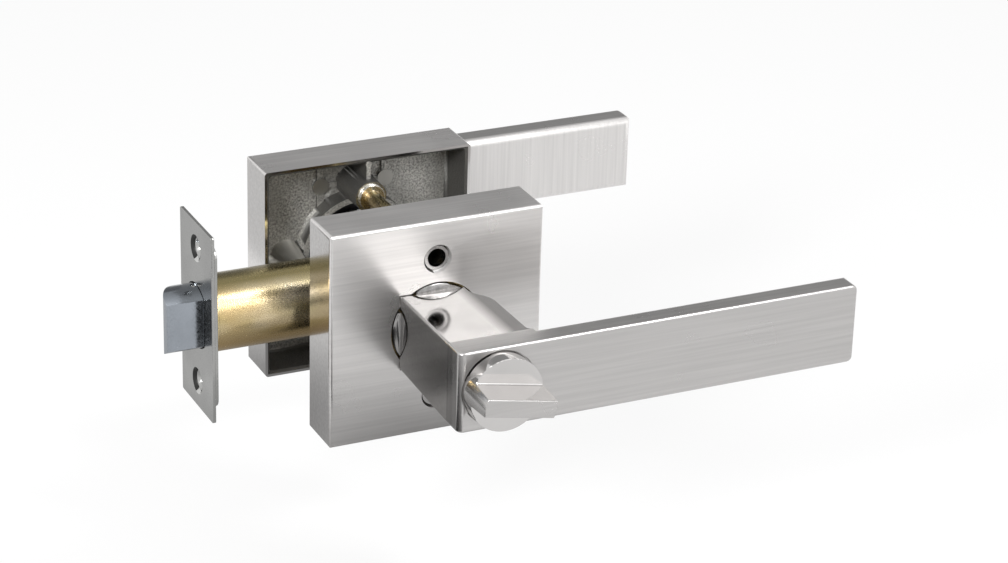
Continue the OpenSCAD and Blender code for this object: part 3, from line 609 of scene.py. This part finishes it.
def softened(node, width, segments=2):
    """Copy of a node with its sharp edges bevelled and its flat faces kept flat in the shading."""
    piece = copy_of(node, node + "_soft")
    edit(make_faces_whole)
    apply(piece, "BEVEL", width=width, segments=segments, limit_method="ANGLE",
          angle_limit=math.radians(32), use_clamp_overlap=True)
    edit(merge_close_points)
    smooth(piece)
    return piece


def paint(piece, material, rule):
    """Gives one of the piece's materials to the faces for which rule(centre, normal) holds."""
    index = piece.data.materials[:].index(material)
    for face in piece.data.polygons:
        if rule(face.center, face.normal):
            face.material_index = index


def body_of(node):
    """Name of the body that a node moves with."""
    bodies = frame["record"]["behaviour"]["bodies"]
    return next(body for body, nodes in bodies.items() if node in nodes)


def finish_piece(piece, node, *materials):
    """Gives a new piece its materials and the body of the node that it replaces, and hides that
    node.
    """
    for material in materials:
        piece.data.materials.append(material)
    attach(piece, body_of(node))
    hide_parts(node)


def half_pitch(mount):
    """Half the distance between the two holes of a screw mount."""
    dims = next(m["dims"] for m in frame["record"]["mounts"] if m["name"] == mount)
    return dims["spacing_y_mm"] / 2 * MM


def soften(node, width, *materials, segments=2):
    """Replaces a node by its softened copy."""
    piece = softened(node, width, segments)
    finish_piece(piece, node, *materials)
    return piece


# ---------------------------------------------------------------- stage

def camera_rotation(azimuth, elevation, roll):
    """Rotation of a camera that looks at the object from that azimuth and elevation, in degrees."""
    az, el, ro = (math.radians(a) for a in (azimuth, elevation, roll))
    back = Vector((math.sin(az) * math.cos(el), -math.cos(az) * math.cos(el), math.sin(el)))
    right = (-back).cross(Vector((0, 0, 1))).normalized()
    up = right.cross(-back)
    turned_right = right * math.cos(ro) + up * math.sin(ro)
    turned_up = up * math.cos(ro) - right * math.sin(ro)
    return Matrix((turned_right, turned_up, back)).transposed().to_euler()


def area_lamp(name, place, side, watts):
    """Square lamp that shines on the origin."""
    bpy.ops.object.light_add(type="AREA", location=place)
    lamp = bpy.context.object
    lamp.name = name
    lamp.rotation_euler = Vector(place).to_track_quat("Z", "Y").to_euler()
    lamp.data.shape = "RECTANGLE"
    lamp.data.size = side
    lamp.data.size_y = side
    lamp.data.energy = watts


def seen_directly(nodes, links):
    """1 for camera, glossy and transmission rays, and 0 for the rest."""
    path = nodes.new("ShaderNodeLightPath")
    total = None
    for ray in ("Is Camera Ray", "Is Glossy Ray", "Is Transmission Ray"):
        if total is None:
            total = path.outputs[ray]
            continue
        largest = nodes.new("ShaderNodeMath")
        largest.operation = "MAXIMUM"
        links.new(total, largest.inputs[0])
        links.new(path.outputs[ray], largest.inputs[1])
        total = largest.outputs[0]
    return total


def white_world(strength):
    """White behind everything; the light that it gives diffuse surfaces is set apart."""
    world = bpy.data.worlds.new("studio")
    world.use_nodes = True
    nodes, links = world.node_tree.nodes, world.node_tree.links
    light = nodes["Background"]
    light.inputs["Color"].default_value = (1, 1, 1, 1)
    light.inputs["Strength"].default_value = strength
    white = nodes.new("ShaderNodeBackground")
    white.inputs["Color"].default_value = (1, 1, 1, 1)
    mixer = nodes.new("ShaderNodeMixShader")
    links.new(seen_directly(nodes, links), mixer.inputs[0])
    links.new(light.outputs[0], mixer.inputs[1])
    links.new(white.outputs[0], mixer.inputs[2])
    links.new(mixer.outputs[0], nodes["World Output"].inputs["Surface"])
    world.cycles.sampling_method = "NONE"
    return world


def floor_finish(share, near, reach):
    """Pale floor: the camera sees a share of plain white, and shaded paper for the rest.

    Metal sees a painted shadow: a grey of the near level below the origin, which rises to white at
    the reach.
    """
    material = bpy.data.materials.new("pale_floor")
    material.use_nodes = True
    material.cycles.emission_sampling = "NONE"
    nodes, links = material.node_tree.nodes, material.node_tree.links
    shader = nodes["Principled BSDF"]
    shader.inputs["Base Color"].default_value = (0.9, 0.9, 0.9, 1)
    shader.inputs["Roughness"].default_value = 0.9
    shader.inputs["Specular IOR Level"].default_value = 0
    white = nodes.new("ShaderNodeEmission")
    path = nodes.new("ShaderNodeLightPath")
    texture = nodes.new("ShaderNodeTexCoord")
    length = nodes.new("ShaderNodeVectorMath")
    length.operation = "LENGTH"
    links.new(texture.outputs["Object"], length.inputs[0])
    # The near level is a painted contact shadow, seen only in metal
    level = nodes.new("ShaderNodeMapRange")
    level.interpolation_type = "SMOOTHSTEP"
    links.new(length.outputs["Value"], level.inputs["Value"])
    level.inputs["From Min"].default_value = 0.2 * reach
    level.inputs["From Max"].default_value = reach
    level.inputs["To Min"].default_value = near
    paper = nodes.new("ShaderNodeMix")
    paper.data_type = "FLOAT"
    links.new(path.outputs["Is Camera Ray"], paper.inputs[0])
    links.new(level.outputs["Result"], paper.inputs[2])
    paper.inputs[3].default_value = 1.0
    links.new(paper.outputs[0], white.inputs["Strength"])
    cover = nodes.new("ShaderNodeMath")
    cover.operation = "MULTIPLY"
    links.new(path.outputs["Is Camera Ray"], cover.inputs[0])
    cover.inputs[1].default_value = 1 - share
    factor = nodes.new("ShaderNodeMath")
    factor.operation = "SUBTRACT"
    links.new(seen_directly(nodes, links), factor.inputs[0])
    links.new(cover.outputs[0], factor.inputs[1])
    mixer = nodes.new("ShaderNodeMixShader")
    links.new(factor.outputs[0], mixer.inputs[0])
    links.new(shader.outputs[0], mixer.inputs[1])
    links.new(white.outputs[0], mixer.inputs[2])
    links.new(mixer.outputs[0], nodes["Material Output"].inputs["Surface"])
    return material


def card_finish(name, level):
    """Even glow of a studio card."""
    material = bpy.data.materials.new(name)
    material.use_nodes = True
    material.cycles.emission_sampling = "NONE"
    nodes, links = material.node_tree.nodes, material.node_tree.links
    plain = nodes.new("ShaderNodeEmission")
    plain.inputs["Color"].default_value = (level, level, level, 1)
    links.new(plain.outputs[0], nodes["Material Output"].inputs["Surface"])
    return material


def show_in_metal_only(made):
    """Hides an object from the camera and from diffuse surfaces, and takes its shadow away."""
    made.visible_camera = False
    made.visible_shadow = False
    made.visible_diffuse = False


def lowest_reach():
    """Height just under a lever's tip when it is turned all the way."""
    joints = frame["record"]["behaviour"]["joints"]
    turn = math.radians(next(j["range_deg"][1] for j in joints if j["name"] == "rear_lever_turn"))
    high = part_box("rear_lever")[1]
    clearance = 1 * MM
    return -high.x * math.sin(turn) - high.z * math.cos(turn) - clearance


def level_sheet(name, radius, height, material):
    """Round sheet that lies level under the object."""
    bpy.ops.mesh.primitive_circle_add(vertices=64, radius=radius, fill_type="NGON",
                                      location=(0, 0, height))
    made = bpy.context.object
    made.name = name
    made.data.materials.append(material)
    return made


def card(name, place, size, level, facing=None):
    """Studio card that faces the origin or a direction; it shows in metal and casts no shadow."""
    bpy.ops.mesh.primitive_plane_add(size=1, location=place)
    made = bpy.context.object
    made.name = name
    made.scale = (*size, 1)
    made.rotation_euler = Vector(facing or [-x for x in place]).to_track_quat("Z", "Y").to_euler()
    made.data.materials.append(card_finish(name, level))
    show_in_metal_only(made)


class DOORLEVER_OT_stage(bpy.types.Operator):
    """Floor, world, lamps, cards and camera"""
    bl_idname = "doorlever.stage"
    bl_label = "Stage"

    def execute(self, context):
        scene = context.scene
        scene.view_settings.view_transform = "Standard"
        bpy.ops.object.camera_add(location=(-0.33283, -0.76802, 0.3752))
        camera = context.object
        camera.rotation_euler = camera_rotation(azimuth=-25.67, elevation=24.07, roll=1.68)
        camera.data.lens = 112.59
        camera.data.sensor_width = 36
        camera.data.clip_start = 0.01
        scene.camera = camera
        scene.world = white_world(strength=0.75)
        paper = floor_finish(share=0.7, near=0.27, reach=0.11)
        level_sheet("floor", 4, lowest_reach(), paper)
        # Sheet at the object's lowest point that shows the floor's painted shadow in metal only
        show_in_metal_only(level_sheet("grey_card_below", 1, LOWEST_Z, paper))
        area_lamp("key", (0.38, -0.39, 0.79), side=0.2, watts=2.5)
        area_lamp("window", (-0.69, -0.62, 0.52), side=0.25, watts=8.5)
        just_above = LOWEST_Z + 2 * MM
        under_bolt = LOWEST_Z + 18 * MM
        up, back = (0, 0, 1), (0, 1, 0)
        card("grey_card_behind", (0.52, 1.05, 0.52), (1.5, 0.9), level=0.36)
        card("bright_card_right", (0.481, -0.74, 0.469), (0.5, 0.95), level=1.8)
        card("dark_card_left", (-0.0655, -0.0925, just_above), (0.079, 0.085), level=0.04,
             facing=up)
        card("dark_card_front", (-0.234, -0.474, 0.282), (0.32, 1), level=0.08)
        card("bright_card_above", (0.3955, -0.69, 0.605), (0.3, 0.26), level=9)
        card("grey_card_left", (-0.2, 0.22, just_above), (0.28, 0.4), level=0.68, facing=up)
        card("bright_card_bolt", (-0.05, -0.046, under_bolt), (0.022, 0.034), level=0.9,
             facing=back)
        return {"FINISHED"}


# ---------------------------------------------------------------- pieces

class DOORLEVER_OT_rosettes(bpy.types.Operator):
    """Rosettes: brushed nickel outside, raw casting in the pan"""
    bl_idname = "doorlever.rosettes"
    bl_label = "Rosettes"
    # Distances from the middle of the door: just under the plated face, and the end of the bright
    # part of a screw hole's wall
    face = -ROSE_LOW.y - 0.6 * MM
    bright_to = face - 2.9 * MM
    # Height of a screw hole's axis, and a radius just outside its wall
    hole_z = half_pitch("rose_screws")
    hole_radius = 2.9 * MM

    def execute(self, context):
        for node in ("front_rosette", "rear_rosette"):
            front = node == "front_rosette"
            piece = softened(node, sizes().rosette_edge)
            if front:
                self.split_wall(piece, lambda face: self.in_hole(face.center), self.bright_to)
            finish_piece(piece, node, satin_nickel(), raw_casting(), polished_nickel(),
                         deep_casting(), faced_casting(), pad_casting())
            self.paint_pan(piece, front)
            if front:
                self.paint_holes(piece)
            self.paint_door_side(piece, 1 if front else -1)
        return {"FINISHED"}

    def from_hole(self, point):
        """Distance from the axis of the nearer screw hole."""
        return math.hypot(point.x, abs(point.z) - self.hole_z)

    def in_hole(self, point):
        """Whether a point lies on the wall of a screw hole."""
        return self.from_hole(point) < self.hole_radius

    def paint_pan(self, piece, front):
        """Leaves the inside of a rosette as cast, except the mouths of the front one's holes."""
        half = ROSE_HIGH.z - 0.8 * MM
        mouth_radius = 4.7 * MM
        mouth_bottom = self.face - 8 * MM

        def inside(centre, normal):
            in_pan = max(abs(centre.x), abs(centre.z)) < half and abs(centre.y) < self.face
            in_mouth = (front and self.from_hole(centre) < mouth_radius
                        and abs(centre.y) > mouth_bottom)
            return in_pan and not in_mouth

        paint(piece, raw_casting(), inside)

    def paint_holes(self, piece):
        """Polishes the screw holes at their mouths, and paints shade on their walls below."""
        paint(piece, polished_nickel(), lambda c, n: self.in_hole(c) and abs(c.y) > self.bright_to)
        # Painted shade on the walls of the screw holes below their mouths
        paint(piece, deep_casting(), lambda c, n: self.in_hole(c) and abs(c.y) < self.bright_to)

    def paint_door_side(self, piece, to_door):
        """Polishes the rim, finishes the ends of the bosses and the pads, and paints light on one
        side boss.
        """
        rim = 17.7 * MM
        boss_radius = 4.9 * MM
        boss_low, boss_high = 15 * MM, 17 * MM
        pad_depth, pad_radius = 29.5 * MM, 2.4 * MM
        pad_x, pad_z = 10.3 * MM, 20.5 * MM
        ring_radius = 18.6 * MM
        side_left, side_low, side_high = -29.5 * MM, -8 * MM, 12 * MM

        def on_pad(c, n):
            level = n.y * to_door > 0.9 and abs(abs(c.y) - pad_depth) < 0.1 * MM
            return level and math.hypot(abs(c.x) - pad_x, abs(c.z) - pad_z) < pad_radius

        def on_side_boss(c, n):
            beside_ring = side_left < c.x < 0 and math.hypot(c.x, c.z) > ring_radius
            return beside_ring and side_low < c.z < side_high and abs(n.y) < 0.5

        paint(piece, polished_nickel(), lambda c, n: n.y * to_door > 0.9 and abs(c.y) < rim)
        paint(piece, faced_casting(), lambda c, n: n.y * to_door > 0.9
              and self.from_hole(c) < boss_radius and boss_low < abs(c.y) < boss_high)
        paint(piece, pad_casting(), on_pad)
        # Painted light: the side boss's walls take the pads' finish, not the walls' painted shade
        paint(piece, pad_casting(), on_side_boss)

    def split_wall(self, piece, rule, depth):
        """Cuts the chosen faces at a depth, so that a hole's mouth can have a finish of its own."""
        select_faces(piece, rule)
        bpy.ops.mesh.bisect(plane_co=(0, -depth, 0), plane_no=(0, 1, 0))
        bpy.ops.object.mode_set(mode="OBJECT")


def rounding_tool(node):
    """Block round a lever's heel and neck, hollowed to their outline with rounded edges.

    The hollow stands a hair outside the lever, so that the block takes only the edges.
    """
    low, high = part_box(node)
    to_door = 1 if node == "front_lever" else -1
    face = low.y if to_door == 1 else high.y
    hair = 0.005 * MM
    heel, half = -LEVER_HALF - hair, LEVER_HALF + hair
    blade_depth, neck_end_depth = 8 * MM, 41.25 * MM
    neck_slant, neck_end_half = 0.6 * MM, 11.26 * MM
    start = face - to_door * hair
    back = face + to_door * blade_depth
    end = face + to_door * neck_end_depth
    far = high.x + hair

    def corners(x0, y0, z0, x1, y1, z1):
        """Low and high corner of a box whose two y may come in either order."""
        return (x0, min(y0, y1), z0), (x1, max(y0, y1), z1)

    inner = block("rounding_inner", *corners(heel, start, -half, far, back, half))
    # The neck tapers towards the door
    select_faces(inner, lambda side: side.normal.y * to_door > 0.9)
    bpy.ops.mesh.extrude_region_move(TRANSFORM_OT_translate={"value": (neck_slant, end - back, 0)})
    bpy.ops.transform.resize(value=(1, 1, neck_end_half / half), center_override=(0, 0, 0))
    bpy.ops.object.mode_set(mode="OBJECT")

    def near(value, target):
        return abs(value - target) < 0.01 * MM

    bevel_where(inner, lambda a, b: near(a.y, start) and near(b.y, start) and near(a.x, heel)
                and near(b.x, heel), sizes().heel_corner, 6)
    bevel_where(inner, lambda a, b: min(a.x, b.x) > far - 1 * MM and abs(a.y - b.y) > 1 * MM,
                sizes().tip_corner, 5)

    heel_side = heel + sizes().heel_corner + 0.5 * MM

    def outline(a, b):
        """Edges round the front and along the heel side, but none at the neck's end."""
        left = a.x < heel_side and b.x < heel_side and abs(a.z - b.z) < 2 * MM
        upright = abs(a.z - b.z) > 2 * MM and a.x < 0
        front = near(a.y, start) and near(b.y, start) and not upright
        inside = abs(a.y - end) > 1 * MM or abs(b.y - end) > 1 * MM
        across = abs(a.y - b.y) > 0.01 * MM or near(a.y, start)
        return (left or front) and inside and across

    bevel_where(inner, outline, sizes().lever_edge, 4)
    wall = 4 * MM
    outer_half = LEVER_HALF + wall
    outer = block("rounding_outer", *corners(heel - wall, face - to_door * wall, -outer_half,
                                             far + wall, end - to_door * 0.01 * MM, outer_half))
    cut(outer, inner)
    return outer


class DOORLEVER_OT_levers(bpy.types.Operator):
    """Levers: blade brushed along its length, neck buffed, edges of heel and neck rounded"""
    bl_idname = "doorlever.levers"
    bl_label = "Levers"
    # A lever with fewer faces than this has lost its shape in the cut
    fewest_faces = 500

    def execute(self, context):
        for node in ("front_lever", "rear_lever"):
            tool = rounding_tool(node)
            piece = copy_of(node, node + "_soft")
            edit(make_faces_whole)
            cut(piece, tool)
            if len(piece.data.polygons) < self.fewest_faces:
                raise RuntimeError(f"the rounding of {node} took the lever away")
            edit(merge_close_points)
            smooth(piece)
            finish_piece(piece, node, lever_nickel(), upright_nickel(), neck_nickel(),
                         neck_side_nickel())
            self.paint_lever(piece, node)
        return {"FINISHED"}

    def paint_lever(self, piece, node):
        """Gives the back of the blade and the neck finishes of their own, and paints shade on the
        neck's heel side and on the collar.
        """
        low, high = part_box(node)
        to_door = 1 if node == "front_lever" else -1
        blade_back = (low.y if to_door == 1 else high.y) + to_door * 7.9 * MM
        neck_end = blade_back + to_door * 25.2 * MM
        collar_end = -ROSE_LOW.y + 0.9 * MM
        grip_start, neck_right = 14 * MM, 13.6 * MM
        flat_half, collar_left = 11 * MM, -10 * MM

        def on_neck(centre, normal):
            between = (centre.y - blade_back) * to_door > 0 and (neck_end - centre.y) * to_door > 0
            return between and centre.x < neck_right and abs(normal.x) < 0.9

        def on_heel_side(centre, normal):
            before_collar = (neck_end - centre.y) * to_door > 0
            return normal.x < -0.97 and abs(centre.z) < flat_half and before_collar

        def on_collar(centre, normal):
            round_neck = centre.x < collar_left or abs(centre.z) > flat_half
            return round_neck and abs(centre.y) < collar_end

        paint(piece, upright_nickel(), lambda centre, normal: centre.x > grip_start
              and normal.y * to_door > 0.5)
        paint(piece, neck_nickel(), on_neck)
        # Painted shade on the heel side of the neck and on the collar
        paint(piece, neck_side_nickel(), on_heel_side)
        paint(piece, neck_side_nickel(), on_collar)


class DOORLEVER_OT_turn_button(bpy.types.Operator):
    """Turn button with a rounded grip and a fillet at its root"""
    bl_idname = "doorlever.turn_button"
    bl_label = "Turn button"

    def execute(self, context):
        piece = copy_of("turn_button", "turn_button_soft")
        edit(make_faces_whole)
        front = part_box("turn_button")[0].y
        root = front + 9 * MM
        near = 0.05 * MM
        grip_length, face_depth = 15 * MM, 0.3 * MM
        bevel_where(piece, lambda a, b: max(a.y, b.y) < front + near, sizes().button_edge, 2)
        bevel_where(piece, lambda a, b: abs(a.y - root) < near and abs(b.y - root) < near
                    and (a - b).length > grip_length, sizes().button_root, 3)
        edit(merge_close_points)
        smooth(piece)
        finish_piece(piece, "turn_button", lever_nickel(), polished_nickel())
        paint(piece, polished_nickel(), lambda centre, normal: centre.y > front + face_depth)
        return {"FINISHED"}


class DOORLEVER_OT_latch(bpy.types.Operator):
    """Faceplate, backplate, barrel and bolt"""
    bl_idname = "doorlever.latch"
    bl_label = "Latch"

    def execute(self, context):
        plate = soften("latch_faceplate", sizes().plate_edge,
                       plate_steel(), sunk_steel(), shaded_steel())
        hole_z = half_pitch("faceplate_screws")
        sink_radius, hole_radius, shade_start = 4.6 * MM, 2.4 * MM, 1.2 * MM

        def from_hole(point):
            return math.hypot(point.y, abs(point.z) - hole_z)

        def in_sink(centre, normal):
            return from_hole(centre) < sink_radius and abs(normal.x) < 0.97

        def in_shade(centre, normal):
            shaded = centre.y > shade_start or from_hole(centre) < hole_radius
            return shaded and in_sink(centre, normal)

        # Painted highlight on one half of each countersink, painted shade on the other half and in
        # the hole
        paint(plate, sunk_steel(), in_sink)
        paint(plate, shaded_steel(), in_shade)
        soften("latch_backplate", sizes().plate_edge, plate_steel())
        soften("latch_barrel", sizes().plate_edge, yellow_zinc())
        soften("latch_bolt", sizes().bolt_edge, bolt_steel(), segments=3)
        return {"FINISHED"}


class DOORLEVER_OT_latch_works(bpy.types.Operator):
    """Case, hub, drawbar and what they hold"""
    bl_idname = "doorlever.latch_works"
    bl_label = "Latch works"

    def execute(self, context):
        for node in ("latch_case", "latch_case_cover", "latch_hub", "latch_drawbar"):
            soften(node, sizes().small_edge, yellow_zinc())
        for node in ("latch_case_rivet", "spring_seat", "bolt_pin"):
            soften(node, sizes().small_edge, turned_steel())
        return {"FINISHED"}


class DOORLEVER_OT_fastening(bpy.types.Operator):
    """Screw posts and spindle"""
    bl_idname = "doorlever.fastening"
    bl_label = "Posts and spindle"

    def execute(self, context):
        posts = soften("screw_posts", sizes().small_edge, yellow_zinc(), pale_zinc())
        post_z = half_pitch("post_threads")
        post_radius = 2.55 * MM
        paint(posts, pale_zinc(), lambda c, n: math.hypot(c.x, abs(c.z) - post_z) > post_radius)
        soften("spindle", sizes().small_edge, turned_steel())
        return {"FINISHED"}


class DOORLEVER_OT_lever_works(bpy.types.Operator):
    """Bushings, drivers and circlips"""
    bl_idname = "doorlever.lever_works"
    bl_label = "Lever works"

    def execute(self, context):
        for side in ("front", "rear"):
            soften(side + "_bushing", sizes().small_edge, plain_brass())
            soften(side + "_driver", sizes().small_edge, black_steel())
            soften(side + "_circlip", sizes().small_edge, black_steel())
        return {"FINISHED"}


class DOORLEVER_OT_lock_works(bpy.types.Operator):
    """Lock plate, its rivets, dog, snap ring and turn rod"""
    bl_idname = "doorlever.lock_works"
    bl_label = "Lock works"

    def execute(self, context):
        soften("lock_plate", sizes().small_edge, yellow_zinc())
        soften("lock_plate_rivets", sizes().small_edge, turned_steel())
        soften("lock_dog", sizes().small_edge, turned_steel())
        soften("button_snap_ring", sizes().small_edge, spring_wire())
        soften("turn_rod", sizes().small_edge, turned_steel())
        return {"FINISHED"}


class DOORLEVER_OT_springs(bpy.types.Operator):
    """Return springs and bolt spring, with round wire"""
    bl_idname = "doorlever.springs"
    bl_label = "Springs"

    def execute(self, context):
        for node in ("front_return_spring", "rear_return_spring", "bolt_spring"):
            piece = copy_of(node, node + "_round")
            edit(lambda: bpy.ops.transform.shrink_fatten(value=sizes().wire_growth))
            apply(piece, "SUBSURF", levels=1, render_levels=1)
            bpy.ops.object.shade_smooth_by_angle(angle=math.radians(50))
            finish_piece(piece, node, spring_wire())
        return {"FINISHED"}


class DOORLEVER_PT_panel(bpy.types.Panel):
    """Sizes, colours and operators of the door lever set"""
    bl_idname = "DOORLEVER_PT_panel"
    bl_label = "Door Lever"
    bl_space_type = "VIEW_3D"
    bl_region_type = "UI"
    bl_category = "Door Lever"

    def draw(self, context):
        layout = self.layout
        for group in (context.scene.door_lever_sizes, context.scene.door_lever_finishes):
            box = layout.box()
            for name in group.bl_rna.properties.keys():
                if name not in ("rna_type", "name"):
                    box.prop(group, name)
        for operator in OPERATORS:
            layout.operator(operator.bl_idname)


OPERATORS = (
    DOORLEVER_OT_stage, DOORLEVER_OT_rosettes, DOORLEVER_OT_levers, DOORLEVER_OT_turn_button,
    DOORLEVER_OT_latch, DOORLEVER_OT_latch_works, DOORLEVER_OT_fastening, DOORLEVER_OT_lever_works,
    DOORLEVER_OT_lock_works, DOORLEVER_OT_springs,
)
CLASSES = (DoorLeverSizes, DoorLeverFinishes, *OPERATORS, DOORLEVER_PT_panel)


def register():
    for cls in CLASSES:
        bpy.utils.register_class(cls)
    bpy.types.Scene.door_lever_sizes = bpy.props.PointerProperty(type=DoorLeverSizes)
    bpy.types.Scene.door_lever_finishes = bpy.props.PointerProperty(type=DoorLeverFinishes)


def unregister():
    del bpy.types.Scene.door_lever_finishes
    del bpy.types.Scene.door_lever_sizes
    for cls in reversed(CLASSES):
        bpy.utils.unregister_class(cls)


def main():
    register()
    bpy.ops.doorlever.stage()
    bpy.ops.doorlever.rosettes()
    bpy.ops.doorlever.levers()
    bpy.ops.doorlever.turn_button()
    bpy.ops.doorlever.latch()
    bpy.ops.doorlever.latch_works()
    bpy.ops.doorlever.fastening()
    bpy.ops.doorlever.lever_works()
    bpy.ops.doorlever.lock_works()
    bpy.ops.doorlever.springs()


if __name__ == "__main__":
    main()
